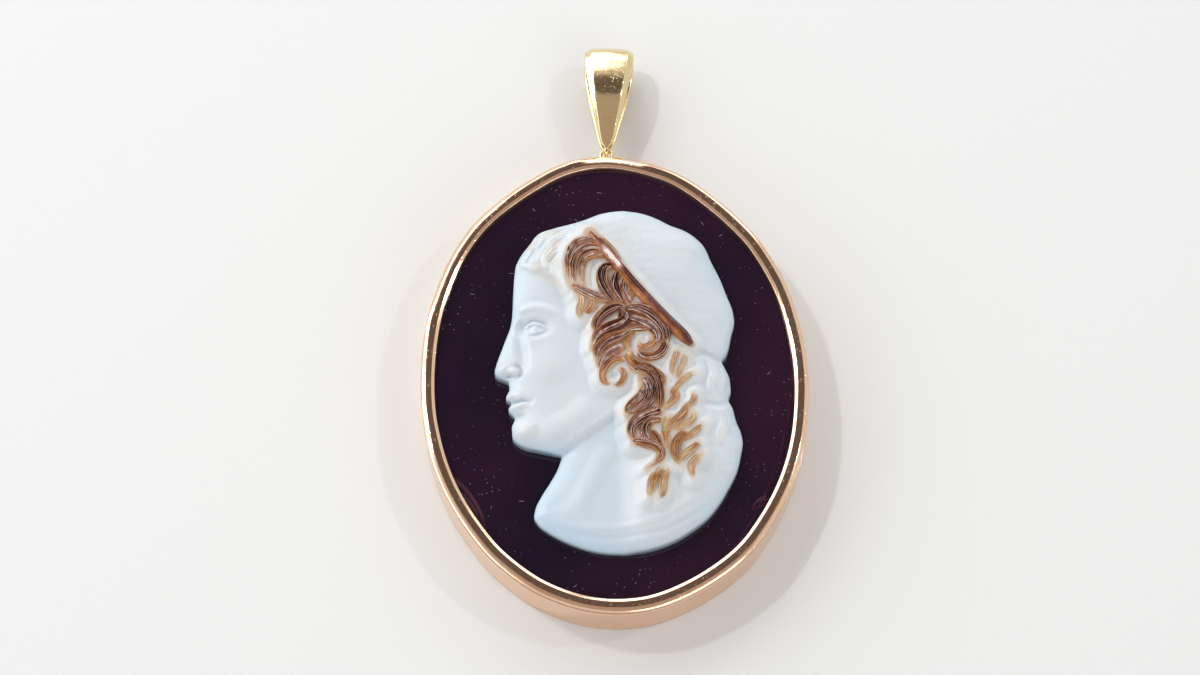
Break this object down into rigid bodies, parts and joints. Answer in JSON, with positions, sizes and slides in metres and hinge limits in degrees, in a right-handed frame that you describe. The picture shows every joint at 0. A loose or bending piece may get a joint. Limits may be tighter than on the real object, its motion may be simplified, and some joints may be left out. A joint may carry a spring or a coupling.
{
  "type": "cameo pendant",
  "caption": "Oval layered-stone cameo pendant carved with a bust in profile, in a gold bezel with a soldered top ring and a tapered bail that takes a chain.",
  "frame": {"origin": "middle of the bounding box in X and Y, on the surface the pendant lies on (Z = 0 is the bezel's back edge)", "axes": "X runs across the pendant to its right, Y from the bust's foot towards the bail, Z out of the carved face"},
  "size_m": [0.0326, 0.0534, 0.0066],
  "materials": {
    "rose_gold": "polished rose gold, hand burnished, with fine wear scratches",
    "yellow_gold": "polished yellow gold",
    "dark_stone": "polished dark purple-black chalcedony",
    "white_stone": "satin carved bluish-white chalcedony",
    "brown_stone": "glossy carved brown chalcedony, thin at its edges"
  },
  "bodies": {
    "root": {"bezel": "rose_gold", "bail": "yellow_gold", "ground_layer": "dark_stone", "white_bust": "white_stone", "brown_curls": "brown_stone", "fillet": "brown_stone"}
  },
  "joints": []
}
